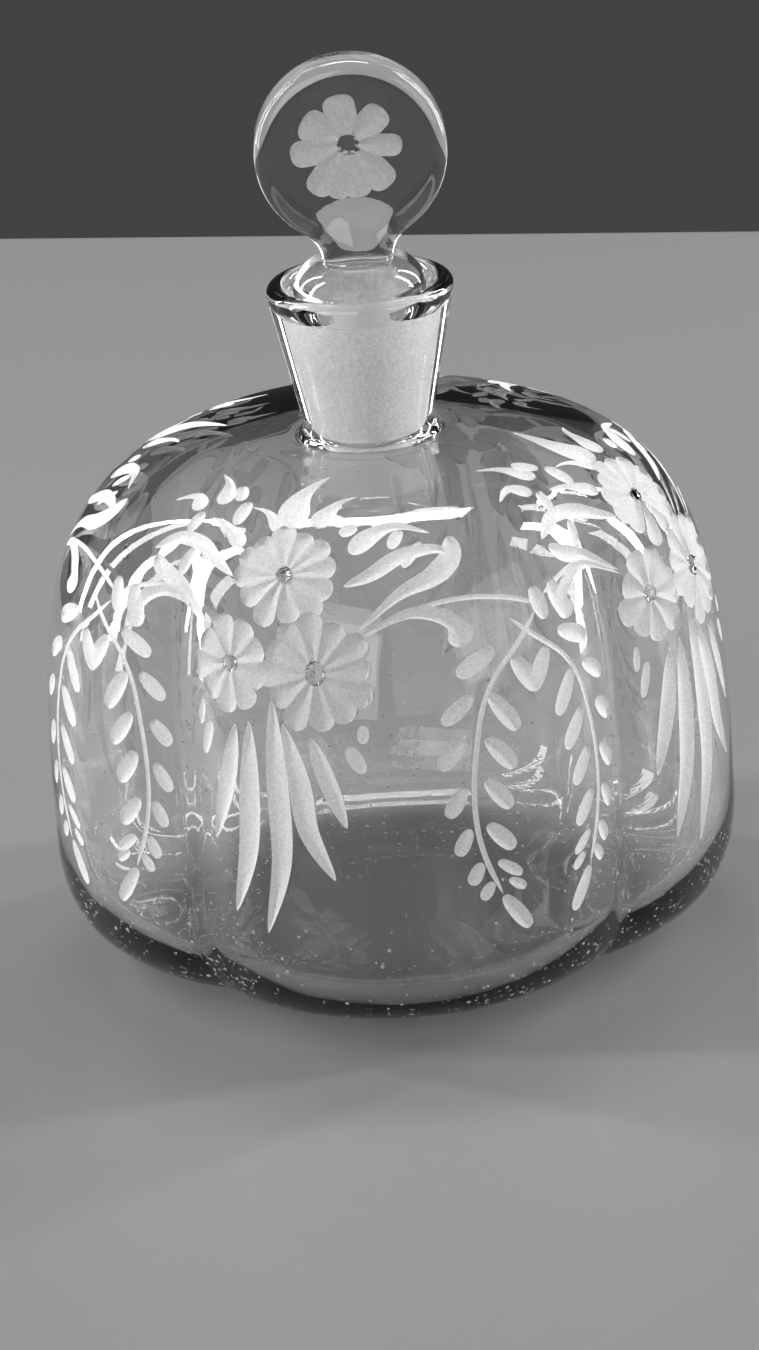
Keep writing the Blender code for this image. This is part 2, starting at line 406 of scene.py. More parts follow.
def spray():
    """The engraver's whole pattern for one quarter of the bottle, as (points, width, form)."""
    cuts = []
    cuts += flower((-22.0, 93.6), 8.3, 12, 0.2, (2.2, 2.6), 1.05)
    cuts += flower((-32.0, 78.8), 7.4, 9, 0.5, (2.6, 3.2))
    cuts += flower((-14.8, 78.8), 8.9, 12, 0.1, (3.8, 3.2), 1.02)
    hanging = [
        ([(-30.4, 69.8), (-32.6, 61), (-36.4, 50.8)], 2.7),
        ([(-27.4, 70.6), (-27.9, 60), (-29.0, 50), (-32.6, 39.8)], 3.2),
        ([(-22.8, 74.5), (-22.2, 60), (-22.4, 49), (-26.0, 37.4)], 3.1),
        ([(-20.7, 70.8), (-18.2, 62), (-17.0, 54.5), (-12.9, 47.0)], 3.0),
        ([(-15.8, 69.2), (-13.2, 62.5), (-10.4, 55.3)], 2.3),
    ]
    cuts += [(points, 1.25 * width, blade) for points, width in hanging]
    ovals = [
        ([(-7.0, 68.4), (-6.7, 71.2)], 1.8), ([(-7.1, 63.9), (-9.5, 68.0)], 2.4),
        ([(-38.9, 68.3), (-38.3, 72.3)], 1.5), ([(-38.2, 63.8), (-36.2, 69.3)], 2.0),
        ([(28.9, 82.2), (27.3, 87.6)], 2.9), ([(33.3, 82.1), (32.0, 87.6)], 3.1),
        ([(0.2, 97.6), (3.0, 101.0)], 2.0), ([(2.3, 94.3), (7.0, 98.3)], 1.7),
        ([(-47.2, 90.3), (-45.8, 95.2)], 2.1), ([(-49.1, 97.9), (-48.9, 102.2)], 2.3),
        ([(-10.8, 100.6), (-7.0, 102.3)], 2.2), ([(-37.4, 101.0), (-38.2, 106.4)], 2.6),
        ([(-45.6, 109.8), (-40.9, 106.2)], 2.4), ([(-44.0, 97.0), (-41.2, 93.8)], 1.8),
    ]
    cuts += [(points, width, oval) for points, width in ovals]
    drops = [
        ([(-22.6, 101.8), (-24.2, 107.2), (-22.9, 111.8), (-19.0, 116.0)], 5.0),
        ([(-17.0, 102.2), (-14.6, 105.4), (-11.6, 108.2), (-7.6, 109.3)], 3.4),
        ([(-8.3, 97.2), (-3.5, 100.4), (2.5, 101.8), (9.4, 99.7)], 3.2),
        ([(-33.0, 97.3), (-36.5, 99.2), (-41.0, 101.0), (-45.4, 101.4)], 2.8),
        ([(-25.4, 100.8), (-28.6, 103.6), (-32.0, 105.0), (-36.0, 105.2)], 2.2),
        ([(-54.8, 92.8), (-51.6, 90.6), (-45.5, 88.8), (-38.7, 84.6)], 3.0),
        ([(13.6, 98.6), (12.3, 95.0), (8.0, 92.4), (1.0, 90.2), (-7.0, 85.0)], 3.6),
        ([(-45.2, 104.6), (-47.6, 107.4), (-51.5, 110.0), (-57.6, 111.4)], 3.0),
        ([(-50.6, 102.2), (-53.0, 104.2), (-56.0, 104.9), (-60.4, 102.8)], 2.8),
    ]
    cuts += [(points, width, drop) for points, width in drops]
    scrolls = [
        ([(11.8, 81.4), (10.4, 85.0), (6.4, 86.9), (1.0, 87.0), (-6.6, 84.0)], 4.2),
        ([(-55.6, 80.8), (-56.0, 84.4), (-51.5, 87.2), (-45.5, 86.8), (-38.8, 83.6)], 3.8),
    ]
    cuts += [(points, width, scroll) for points, width in scrolls]
    arches = [
        ([(-9.5, 91.8), (-4.0, 93.6), (2.0, 96.2), (8.5, 96.9), (13.6, 95.8)], 2.5),
        ([(-56.0, 93.8), (-50.5, 96.6), (-43.5, 96.2), (-38.5, 94.2), (-33.3, 92.2)], 2.7),
    ]
    cuts += [(points, width, blade) for points, width in arches]
    runners = [
        [(-4.0, 85.6), (5.0, 87.9), (13.0, 88.4), (21.0, 87.2), (27.0, 85.2)],
        [(-39.6, 84.8), (-46.0, 87.8), (-53.0, 88.2), (-60.6, 86.0)],
    ]
    cuts += [(points, 0.75, stem) for points in runners]
    cuts += garland(GARLAND_STEM, GARLAND_LEAVES, GARLAND_TIP)
    cuts += garland(GARLAND_STEM, GARLAND_LEAVES, GARLAND_TIP, mirror=24.0)
    return cuts


def engraving():
    """The spray cut four times round the bottle, each time a little differently by hand."""
    hand = random.Random(7)
    patches = []
    for k in range(SPRAYS):
        for points, width, form in spray():
            slip = hand.uniform(-HAND_SLIP, HAND_SLIP) if k else 0.0
            lift = hand.uniform(-HAND_SLIP, HAND_SLIP) if k else 0.0
            drawn = width * (hand.uniform(0.93, 1.08) if k else 1.0)
            moved = [(a + slip, s + lift) for a, s in points]
            patches.append(Patch(moved, drawn, form, 360.0 / SPRAYS * k))
    return patches


# ---------------------------------------------------------------- mesh helpers

def circle(count):
    return 360.0 / count * np.arange(count)


def turned_rows(profile, count):
    """Vertices and faces of a profile turned about Z; a point on the axis closes its end."""
    turn = np.radians(circle(count))
    verts, faces, rings = [], [], []
    for r, z in profile:
        base = len(verts)
        if r < 1e-6:
            verts.append((0.0, 0.0, z))
            rings.append([base])
            continue
        verts += list(zip(r * np.sin(turn), -r * np.cos(turn), [z] * count))
        rings.append(list(range(base, base + count)))
    for a, b in zip(rings, rings[1:]):
        for i in range(count):
            j = (i + 1) % count
            if len(a) == 1:
                faces.append((a[0], b[i], b[j]))
            elif len(b) == 1:
                faces.append((a[i], b[0], a[j]))
            else:
                faces.append((a[i], b[i], b[j], a[j]))
    return np.array(verts), faces


def delaunay(points, edges, outlines):
    """Triangles between the points that keep every outline, and which of them lie in one."""
    found = delaunay_2d_cdt([Vector(p) for p in points.tolist()], edges, outlines, 0, 1e-5, True)
    flat, _, triangles, from_points, _, from_outlines = found
    return np.array([(p.x, p.y) for p in flat]), triangles, from_points, from_outlines


def finish_of(outlines, strokes):
    """A face inside a cut is matt, greyer in a petal as painted shade, and clear in a flower's polished hub.
    """
    if not outlines or any(strokes[i].polished for i in outlines):
        return "clear"
    return "petal" if any(strokes[i].petal for i in outlines) else "cut"


def ccw(outline, first):
    """Numbers of the outline's points, counted from first, in counter-clockwise order."""
    x, y = outline[:, 0], outline[:, 1]
    area = (x * np.roll(y, -1) - np.roll(x, -1) * y).sum()
    order = list(range(first, first + len(outline)))
    return order if area > 0 else order[::-1]


class Build:
    """Gathers the patches of one closed surface, with a mark on each face."""

    def __init__(self):
        self.verts, self.faces, self.marks, self.hollow = [], [], [], []
        self.count = 0

    def add(self, verts, faces, mark="clear", hollow=0.0):
        marks = [mark] * len(faces) if isinstance(mark, str) else mark
        self.faces += [tuple(i + self.count for i in f) for f in faces]
        self.marks += marks
        self.verts.append(np.asarray(verts, float))
        self.hollow.append(np.full(len(verts), float(hollow)) if np.isscalar(hollow) else hollow)
        self.count += len(verts)

    def mesh(self, name):
        """One welded mesh of all patches, with its faces outwards."""
        mesh = bpy.data.meshes.new(name)
        mesh.from_pydata((np.concatenate(self.verts) * MM).tolist(), [], self.faces)
        for mark in MARKS:
            layer = mesh.attributes.new(mark, "BOOLEAN", "FACE")
            layer.data.foreach_set("value", [m == mark for m in self.marks])
        layer = mesh.attributes.new("hollow", "FLOAT", "POINT")
        layer.data.foreach_set("value", np.concatenate(self.hollow))
        shape = bmesh.new()
        shape.from_mesh(mesh)
        bmesh.ops.remove_doubles(shape, verts=shape.verts, dist=WELD * MM)
        loose = [v for v in shape.verts if not v.link_faces]
        bmesh.ops.delete(shape, geom=loose, context="VERTS")
        bmesh.ops.recalc_face_normals(shape, faces=shape.faces)
        shape.to_mesh(mesh)
        shape.free()
        return mesh


def new_object(name, mesh):
    obj = bpy.data.objects.new(name, mesh)
    bpy.context.scene.collection.objects.link(obj)
    return obj


def edge_breaks(mesh):
    """Keeps the glass smooth, with a crisp break round each cut."""
    mesh.shade_smooth()
    mesh.set_sharp_from_angle(angle=math.radians(BREAK_ANGLE))
    shape = bmesh.new()
    shape.from_mesh(mesh)
    for edge in shape.edges:
        sides = edge.link_faces
        if len(sides) == 2 and sides[0].material_index != sides[1].material_index:
            edge.smooth = False
    shape.to_mesh(mesh)
    shape.free()


# ---------------------------------------------------------------- node trees

class Tree:
    """A Geometry Nodes tree under construction."""

    def __init__(self, name):
        self.tree = bpy.data.node_groups.new(name, "GeometryNodeTree")
        self.given = self.tree.nodes.new("NodeGroupInput")
        self.tree.interface.new_socket("Geometry", in_out="OUTPUT", socket_type="NodeSocketGeometry")
        self.geometry = self.take("Geometry", "NodeSocketGeometry")

    def take(self, name, kind="NodeSocketFloat"):
        self.tree.interface.new_socket(name, in_out="INPUT", socket_type=kind)
        return self.given.outputs[name]

    def link(self, value, socket):
        if isinstance(value, bpy.types.NodeSocket):
            self.tree.links.new(value, socket)
        else:
            socket.default_value = value

    def node(self, kind, inputs=(), **settings):
        made = self.tree.nodes.new(kind)
        for key, value in settings.items():
            setattr(made, key, value)
        for key, value in dict(inputs).items():
            self.link(value, made.inputs[key])
        return made

    def math(self, operation, *values, clamp=False):
        made = self.node("ShaderNodeMath", operation=operation, use_clamp=clamp)
        for socket, value in zip(made.inputs, values):
            self.link(value, socket)
        return made.outputs[0]

    def named(self, name, kind):
        """A value that each point or face of the mesh carries under this name."""
        made = self.node("GeometryNodeInputNamedAttribute", {"Name": name}, data_type=kind)
        return made.outputs["Attribute"]

    def end(self, geometry):
        out = self.tree.nodes.new("NodeGroupOutput")
        self.tree.links.new(geometry, out.inputs["Geometry"])
        return self.tree


def run_tree(obj, tree, values):
    """Gives obj the tree's result as its own plain mesh."""
    modifier = obj.modifiers.new(tree.name, "NODES")
    modifier.node_group = tree
    for item in tree.interface.items_tree:
        if item.item_type == "SOCKET" and item.in_out == "INPUT" and item.name in values:
            modifier[item.identifier] = values[item.name]
    bpy.context.view_layer.update()
    mesh = bpy.data.meshes.new_from_object(obj.evaluated_get(bpy.context.evaluated_depsgraph_get()))
    obj.modifiers.remove(modifier)
    obj.data = mesh
    return obj


def lobe_tree():
    """Presses the turned wall into round lobes, with broader valleys inside, and finishes its faces."""
    t = Tree("press_lobes")
    lobes, offset, width = t.take("Lobes"), t.take("Lobe offset"), t.take("Valley width")
    inner_width, late, turn = t.take("Inner valley width"), t.take("Valley fade"), t.take("Turn")
    crest, shoulder = t.take("Crest height"), t.take("Shoulder height")
    clear, *finishes = [t.take(name + " glass", "NodeSocketMaterial") for name in ("clear",) + MARKS]

    def squared(value):
        return t.math("MULTIPLY", value, value)

    def hypotenuse(a, b):
        return t.math("SQRT", t.math("ADD", squared(a), squared(b)))

    hollow = t.named("hollow", "FLOAT")
    where = t.node("ShaderNodeSeparateXYZ", {"Vector": t.node("GeometryNodeInputPosition").outputs[0]})
    x, y, z = where.outputs
    angle = t.math("ARCTAN2", x, t.math("MULTIPLY", y, -1.0))
    soft = t.math("ADD", width, t.math("MULTIPLY", hollow, t.math("SUBTRACT", inner_width, width)))
    wave = t.math("COSINE", t.math("MULTIPLY", angle, t.math("MULTIPLY", lobes, 0.5)))
    full = t.math("SQRT", t.math("ADD", 1.0, squared(soft)))
    even = t.math("DIVIDE", hypotenuse(wave, soft), full, clamp=True)
    off_crest = t.math("MULTIPLY", t.math("DIVIDE", 2.0, lobes), t.math("ARCCOSINE", even))
    across = t.math("MULTIPLY", offset, t.math("SINE", off_crest))
    rounded = t.math("SQRT", t.math("SUBTRACT", squared(t.math("SUBTRACT", 1.0, offset)), squared(across)))
    share = t.math("ADD", t.math("MULTIPLY", offset, t.math("COSINE", off_crest)), rounded)
    climb = t.math("DIVIDE", t.math("SUBTRACT", z, crest), t.math("SUBTRACT", shoulder, crest), clamp=True)
    fade = t.math("SUBTRACT", 1.0, t.math("POWER", climb, late))
    keep = t.math("SUBTRACT", 1.0, t.math("MULTIPLY", t.math("SUBTRACT", 1.0, share), fade))
    place = t.node("ShaderNodeCombineXYZ", {
        "X": t.math("MULTIPLY", x, keep), "Y": t.math("MULTIPLY", y, keep), "Z": z})
    moved = t.node("GeometryNodeSetPosition", {"Geometry": t.geometry, "Position": place.outputs[0]})
    spin = t.node("ShaderNodeCombineXYZ", {"Z": turn})
    turned = t.node("GeometryNodeTransform", {"Geometry": moved.outputs[0], "Rotation": spin.outputs[0]})
    whole = t.node("GeometryNodeRealizeInstances", {"Geometry": turned.outputs[0]})
    geometry = t.node("GeometryNodeSetMaterial", {"Geometry": whole.outputs[0], "Material": clear}).outputs[0]
    for mark, material in zip(MARKS, finishes):
        geometry = t.node("GeometryNodeSetMaterial", {
            "Geometry": geometry, "Selection": t.named(mark, "BOOLEAN"), "Material": material}).outputs[0]
    return t.end(geometry)


def seed_tree():
    """Scatters small bubbles through the wall, most of them low in the bottle."""
    t = Tree("scatter_seeds")
    density, seed, size = t.take("Density"), t.take("Seed", "NodeSocketInt"), t.take("Size")
    fade_height, material = t.take("Fade height"), t.take("Bubble", "NodeSocketMaterial")
    where = t.node("ShaderNodeSeparateXYZ", {"Vector": t.node("GeometryNodeInputPosition").outputs[0]})
    high = t.math("DIVIDE", where.outputs["Z"], fade_height)
    fewer = t.math("POWER", 2.72, t.math("MULTIPLY", high, -1.0))
    spots = t.node("GeometryNodeDistributePointsOnFaces", {
        "Mesh": t.geometry, "Density": t.math("MULTIPLY", density, fewer), "Seed": seed})
    ball = t.node("GeometryNodeMeshIcoSphere", {"Radius": size, "Subdivisions": 2})
    scale = t.node("FunctionNodeRandomValue", {2: 0.35, 3: 1.5, "Seed": seed}, data_type="FLOAT")
    spread = t.node("GeometryNodeInstanceOnPoints", {
        "Points": spots.outputs["Points"], "Instance": ball.outputs["Mesh"], "Scale": scale.outputs[1]})
    whole = t.node("GeometryNodeRealizeInstances", {"Geometry": spread.outputs[0]})
    smooth = t.node("GeometryNodeSetShadeSmooth", {"Geometry": whole.outputs[0]})
    # the bubbles' pale matt material is a painted glint for the light each bubble reflects
    done = t.node("GeometryNodeSetMaterial", {"Geometry": smooth.outputs[0], "Material": material})
    return t.end(done.outputs[0])


# ---------------------------------------------------------------- materials

def new_material(name):
    material = bpy.data.materials.new(name)
    material.use_nodes = True
    return material, material.node_tree, material.node_tree.nodes["Principled BSDF"]


def grain(tree, shader, scale, strength, detail, distance):
    """Fine unevenness of the surface, as a bump on the shader."""
    place = tree.nodes.new("ShaderNodeTexCoord")
    noise = tree.nodes.new("ShaderNodeTexNoise")
    noise.inputs["Scale"].default_value = scale
    noise.inputs["Detail"].default_value = detail
    bump = tree.nodes.new("ShaderNodeBump")
    bump.inputs["Strength"].default_value = strength
    bump.inputs["Distance"].default_value = distance
    tree.links.new(place.outputs["Object"], noise.inputs["Vector"])
    tree.links.new(noise.outputs["Fac"], bump.inputs["Height"])
    tree.links.new(bump.outputs["Normal"], shader.inputs["Normal"])
    return noise


def polished_glass(name):
    """Fire-polished clear glass with the faint waviness of hand blowing."""
    material, tree, shader = new_material(name)
    shader.inputs["Base Color"].default_value = (0.985, 0.992, 0.99, 1.0)
    shader.inputs["Roughness"].default_value = 0.0
    shader.inputs["IOR"].default_value = 1.5
    shader.inputs["Transmission Weight"].default_value = 1.0
    grain(tree, shader, 60.0, 0.12, detail=1.0, distance=0.0006)
    return material


def engraved_glass(name, tone, clear_share):
    """Glass roughened by the engraver's wheel: pale, matt and slightly see-through. The bubbles get it too,
    as a painted glint.
    """
    material, tree, shader = new_material(name)
    shader.inputs["Roughness"].default_value = 0.62
    shader.inputs["IOR"].default_value = 1.5
    shader.inputs["Transmission Weight"].default_value = clear_share
    noise = grain(tree, shader, 2600.0, 0.35, detail=3.0, distance=0.00012)
    ramp = tree.nodes.new("ShaderNodeValToRGB")
    ramp.color_ramp.elements[0].position = 0.36
    ramp.color_ramp.elements[0].color = (tone * 0.8, tone * 0.81, tone * 0.82, 1.0)
    ramp.color_ramp.elements[1].position = 0.64
    ramp.color_ramp.elements[1].color = (tone, tone, tone, 1.0)
    tree.links.new(noise.outputs["Fac"], ramp.inputs["Fac"])
    tree.links.new(ramp.outputs["Color"], shader.inputs["Base Color"])
    return material


def pale_table(tone):
    """Plain matt paint for the table."""
    material, _, shader = new_material("pale_table")
    shader.inputs["Base Color"].default_value = (tone, tone, tone * 1.01, 1.0)
    shader.inputs["Roughness"].default_value = 0.48
    shader.inputs["Specular IOR Level"].default_value = 0.35
    return material


# ---------------------------------------------------------------- bottle

def engraved_skin(build):
    """The belt of the body that carries the engraving, meshed round every cut."""
    patches = engraving()
    low_ring = flatten(circle(BODY_STEPS), np.full(BODY_STEPS, ENGRAVED_FROM))
    high_ring = flatten(circle(NECK_STEPS), np.full(NECK_STEPS, ENGRAVED_TO))
    angles, heights = [], []
    rows = np.linspace(ENGRAVED_FROM, ENGRAVED_TO, round((ENGRAVED_TO - ENGRAVED_FROM) / ROW) + 1)[1:-1]
    for s in rows:
        count = BODY_STEPS if s < COARSER_FROM else NECK_STEPS
        angles.append(circle(count))
        heights.append(np.full(count, s))
    angles, heights = np.concatenate(angles), np.concatenate(heights)
    keep = np.ones(len(angles), bool)
    for patch in patches:
        near, away, half = patch.look(angles, heights)
        keep[near[away - half < CLEARANCE]] = False
    flat = [low_ring, high_ring, flatten(angles[keep], heights[keep])]
    count = sum(len(f) for f in flat)
    outlines = []
    for patch in patches:
        edge = flatten(*patch.to_body(patch.stroke.outline()))
        middle = flatten(*patch.to_body(patch.stroke.inside()))
        outlines.append(ccw(edge, count))
        flat += [edge, middle]
        count += len(edge) + len(middle)
    n = BODY_STEPS
    edges = [(i, (i + 1) % n) for i in range(n)]
    edges += [(n + i, n + (i + 1) % NECK_STEPS) for i in range(NECK_STEPS)]
    flat, triangles, sources, cut = delaunay(np.concatenate(flat), edges, outlines)
    in_mouth = np.array([any(n <= k < n + NECK_STEPS for k in source) for source in sources])
    kept = [i for i, tri in enumerate(triangles) if not in_mouth[list(tri)].all()]
    angle, s = unflatten(flat)
    sunk = np.zeros(len(s))
    for patch in patches:
        near, away, half = patch.look(angle, s)
        sunk[near] = np.maximum(sunk[near], patch.stroke.hollow(away, half))
    strokes = [patch.stroke for patch in patches]
    marks = [finish_of(cut[i], strokes) for i in kept]
    build.add(on_body(angle, s, sunk), [tuple(triangles[i]) for i in kept], marks)


def bottle_mesh():
    """Outside, lip, ground bore and inside of the bottle, still round: the lobes are pressed later."""
    build = Build()
    engraved_skin(build)
    # The middle of the underside is drawn up a quarter of a millimetre.
    base = np.array([(0.0, 0.25), (6.0, 0.24), (12.0, 0.2), (18.0, 0.1), (22.5, 0.02)])
    build.add(*turned_rows(np.concatenate([base, body_profile(0, ENGRAVED_FROM, 24)]), BODY_STEPS))

    shoulder = body_profile(ENGRAVED_TO, ALONG[-1], 8)
    fillet = arc((FILLET_RADIUS, CONE_FOOT), NECK_FILLET, 270, 180, 6)[1:]
    lip_middle = (MOUTH_RADIUS - LIP_WIDTH / 2, LIP_TOP - LIP_WIDTH / 2)
    lip = arc(lip_middle, LIP_WIDTH / 2, 0, 180, 14)
    cone = spaced(np.array([fillet[-1], lip[0]]), 1.2)[1:-1]
    funnel = spaced(np.array([lip[-1], (bore_radius(PLUG_TOP), PLUG_TOP)]), 0.8)[1:]
    build.add(*turned_rows(np.concatenate([shoulder, fillet, cone, lip, funnel]), NECK_STEPS))

    roof = SHOULDER_HEIGHT - WALL
    throat = bore_radius(roof)
    throat_middle = (throat + THROAT_ROUNDING, roof + THROAT_ROUNDING)
    rounding = arc(throat_middle, THROAT_ROUNDING, 180, 270, 5)
    seat = spaced(np.array([funnel[-1], rounding[0]]), 1.0)
    build.add(*turned_rows(seat, NECK_STEPS), mark="ground")
    crest = (BODY_RADIUS - WALL, CREST_HEIGHT)
    dome = spaced(quarter(crest, (throat + THROAT_ROUNDING, roof), UPPER_ROUNDNESS, 300)[::-1], 1.7)
    bowl = spaced(quarter(crest, (FOOT_RADIUS - FLOOR_CORNER, BASE_THICKNESS), LOWER_ROUNDNESS, 300), 1.7)
    floor = np.array([(r, BASE_THICKNESS) for r in (16.0, 10.0, 5.0, 0.0)])
    build.add(*turned_rows(np.concatenate([rounding, dome[1:], bowl[1:], floor]), NECK_STEPS), hollow=1.0)
    return build.mesh("bottle_glass")


def press(obj, tree, glass):
    """Runs the lobes' tree on obj; glass is its clear material and those of the marks."""
    materials = {name + " glass": material for name, material in zip(("clear",) + MARKS, glass)}
    return run_tree(obj, tree, materials | {
        "Lobes": float(LOBES), "Lobe offset": LOBE_OFFSET, "Valley width": VALLEY_WIDTH,
        "Inner valley width": INNER_VALLEY_WIDTH, "Valley fade": VALLEY_FADE, "Turn": math.radians(LOBE_TURN),
        "Crest height": CREST_HEIGHT * MM, "Shoulder height": SHOULDER_HEIGHT * MM,
    })


def make_bottle(lobes, glass):
    bottle = new_object("bottle_glass", bottle_mesh())
    press(bottle, lobes, glass)
    edge_breaks(bottle.data)
    return bottle


def make_seeds(lobes, clear, painted_glint_bubble):
    """Bubbles caught in the middle of the wall."""
    build = Build()
    s = np.linspace(0.0, SEEDED_TO, 40)
    middle = on_body(np.zeros(len(s)), s, WALL * 0.5)
    build.add(*turned_rows(np.stack([-middle[:, 1], middle[:, 2]], 1), 90))
    mesh = bpy.data.meshes.new("wall_middle")
    mesh.from_pydata((np.concatenate(build.verts) * MM).tolist(), [], build.faces)
    seeds = new_object("seeds_in_the_glass", mesh)
    press(seeds, lobes, [clear] * (1 + len(MARKS)))
    run_tree(seeds, seed_tree(), {
        "Density": SEED_DENSITY, "Seed": 4, "Size": SEED_SIZE * MM, "Fade height": SEED_FADE_HEIGHT * MM,
        "Bubble": painted_glint_bubble,
    })
    return seeds


# ---------------------------------------------------------------- stopper

def disc_distance(p):
    """Signed distance to the finial's round disc, from its middle."""
    out = np.hypot(p[:, 0], p[:, 2]) - (DISC_RADIUS - DISC_ROUNDING)
    off = np.abs(p[:, 1]) - (DISC_THICKNESS / 2 - DISC_ROUNDING)
    outside = np.hypot(np.maximum(out, 0), np.maximum(off, 0))
    return outside + np.minimum(np.maximum(out, off), 0) - DISC_ROUNDING


def shank_distance(p):
    """Signed distance to the shank, whose round end runs into the disc."""
    foot = -DISC_RADIUS
    side = np.hypot(p[:, 0], p[:, 1]) - SHANK_RADIUS
    sizes = np.array([SHANK_RADIUS, SHANK_RADIUS, SHANK_ROOT])
    q = p - np.array([0.0, 0.0, foot])
    k0 = np.sqrt(((q / sizes) ** 2).sum(1))
    k1 = np.maximum(np.sqrt(((q / sizes**2) ** 2).sum(1)), 1e-6)
    return np.where(p[:, 2] > foot, k0 * (k0 - 1) / k1, side)


def finial_distance(p):
    """Disc and shank melted into each other."""
    a, b = disc_distance(p), shank_distance(p)
    h = np.clip(0.5 + 0.5 * (b - a) / SHANK_BLEND, 0, 1)
    return b * (1 - h) + a * h - SHANK_BLEND * h * (1 - h)


def grow_to_finial(points):
    """Moves each point along its ray from the disc's middle onto the joined surface."""
    far = np.linalg.norm(points, axis=1)
    ray = points / far[:, None]
    low, high = np.full(len(points), 3.0), np.full(len(points), 21.0)
    for _ in range(36):
        middle = (low + high) / 2
        inside = finial_distance(ray * middle[:, None]) < 0
        low, high = np.where(inside, middle, low), np.where(inside, high, middle)
    below = (ray[:, 2] < -0.25) & (high > far - 0.5)
    return np.where(below[:, None], ray * high[:, None], points)


DISC_FLOWER = [  # a petal's root and tip from the flower's middle, and its width
    (-0.2, 1.5, -1.3, 7.9, 4.8), (1.1, 1.1, 5.6, 5.3, 4.4), (1.6, 0.0, 8.1, -0.5, 3.5),
    (1.3, -1.2, 5.8, -6.7, 4.6), (0.4, -1.6, 1.2, -8.2, 4.3), (-0.5, -1.6, -2.2, -8.2, 3.6),
    (-1.2, -1.2, -5.6, -7.2, 4.2), (-1.6, -0.2, -8.7, -1.1, 4.2), (-1.2, 1.0, -6.7, 4.2, 5.2),
]
FLOWER_PLACE = np.array([-0.3, 1.7])


def face_rings(reach, spacing):
    """Rings of points that fill a disc's flat face evenly."""
    rings = [np.zeros((1, 2))]
    for r in np.arange(spacing, reach - spacing * 0.6, spacing):
        a = np.radians(circle(max(8, round(2 * math.pi * r / spacing))))
        rings.append(np.stack([r * np.cos(a), r * np.sin(a)], 1))
    return np.concatenate(rings)


def disc_face(front):
    """One flat face of the disc as points (x, z), triangles and cut marks; the flower is on the front."""
    reach = DISC_RADIUS - DISC_ROUNDING
    a = np.radians(circle(DISC_STEPS))
    rim = np.stack([reach * np.sin(a), -reach * np.cos(a)], 1)
    grid = face_rings(reach, 0.62)
    strokes = []
    if front:
        for x0, z0, x1, z1, width in DISC_FLOWER:
            line = np.array([(x0, z0), (x1, z1)]) + FLOWER_PLACE
            strokes.append(Stroke(line, width, broad_petal, fineness=0.4))
        strokes.append(Stroke(np.array([(0, -1.5), (0, 1.5)]) + FLOWER_PLACE, 3.4, hub_dimple, fineness=0.2))
    keep = np.ones(len(grid), bool)
    for stroke in strokes:
        away, half = stroke.measure(grid)
        keep &= away - half > DISC_CLEARANCE
    flat, count, outlines = [rim, grid[keep]], DISC_STEPS + int(keep.sum()), []
    for stroke in strokes:
        edge, middle = stroke.outline(), stroke.inside()
        outlines.append(ccw(edge, count))
        flat += [edge, middle]
        count += len(edge) + len(middle)
    edges = [(i, (i + 1) % DISC_STEPS) for i in range(DISC_STEPS)]
    flat, triangles, _, cut = delaunay(np.concatenate(flat), edges, outlines)
    sunk = np.zeros(len(flat))
    for stroke in strokes:
        away, half = stroke.measure(flat)
        sunk = np.maximum(sunk, stroke.hollow(away, half))
    return flat, triangles, [finish_of(outlines, strokes) for outlines in cut], sunk


def finial_skin(floor_height):
    """Disc, shank and flower as one skin, open at the bottom, where it is cut level."""
    part = Build()
    half = DISC_THICKNESS / 2
    rim = arc((DISC_RADIUS - DISC_ROUNDING, half - DISC_ROUNDING), DISC_ROUNDING, 90, 0, 9)
    rim = np.concatenate([rim, rim[::-1] * np.array([1, -1])])
    rim = np.concatenate([rim[:10], np.array([(DISC_RADIUS, 0.4), (DISC_RADIUS, -0.4)]), rim[10:]])
    verts, faces = turned_rows(rim, DISC_STEPS)
    part.add(grow_to_finial(np.stack([verts[:, 0], -verts[:, 2], verts[:, 1]], 1)), faces)
    for front in (True, False):
        flat, triangles, marks, sunk = disc_face(front)
        side = -half if front else half
        points = grow_to_finial(np.stack([flat[:, 0], np.full(len(flat), side), flat[:, 1]], 1))
        points[:, 1] += sunk if front else 0.0
        part.add(points, triangles, marks)
    mesh = part.mesh("finial")
    shape = bmesh.new()
    shape.from_mesh(mesh)
    level = Vector((0, 0, (floor_height - DISC_MIDDLE) * MM))
    whole = list(shape.verts) + list(shape.edges) + list(shape.faces)
    bmesh.ops.bisect_plane(shape, geom=whole, plane_co=level, plane_no=(0, 0, -1), clear_outer=True)
    bmesh.ops.translate(shape, verts=shape.verts, vec=(0, 0, DISC_MIDDLE * MM))
    return shape


def stopper_profile(top):
    """From the plug's tip up the ground plug, over the collar and the dome, to the shank."""
    tip_radius = PLUG_RADIUS - PLUG_TAPER * (PLUG_TOP - PLUG_TIP)
    tip = arc((tip_radius - 1.0, PLUG_TIP + 1.0), 1.0, -90, 0, 5)
    inner = np.array([(0.0, PLUG_TIP), (tip_radius * 0.4, PLUG_TIP)])
    rim_top = PLUG_TOP + COLLAR_UNDERSIDE + COLLAR_RIM
    under = spaced(np.array([(PLUG_RADIUS, PLUG_TOP), (COLLAR_RADIUS, rim_top - COLLAR_RIM)]), 0.7)
    ground_top = np.array([PLUG_RADIUS - PLUG_TAPER * PLUG_BAND, PLUG_TOP - PLUG_BAND])
    plug = spaced(np.array([tip[-1], ground_top]), 1.0)
    dome = quarter((COLLAR_RADIUS, rim_top), (SHANK_RADIUS, rim_top + DOME_HEIGHT), 1.7, 14)
    flare = np.array([(SHANK_RADIUS, top)])
    return np.concatenate([inner, tip]), plug, np.concatenate([ground_top[None], under, dome, flare])


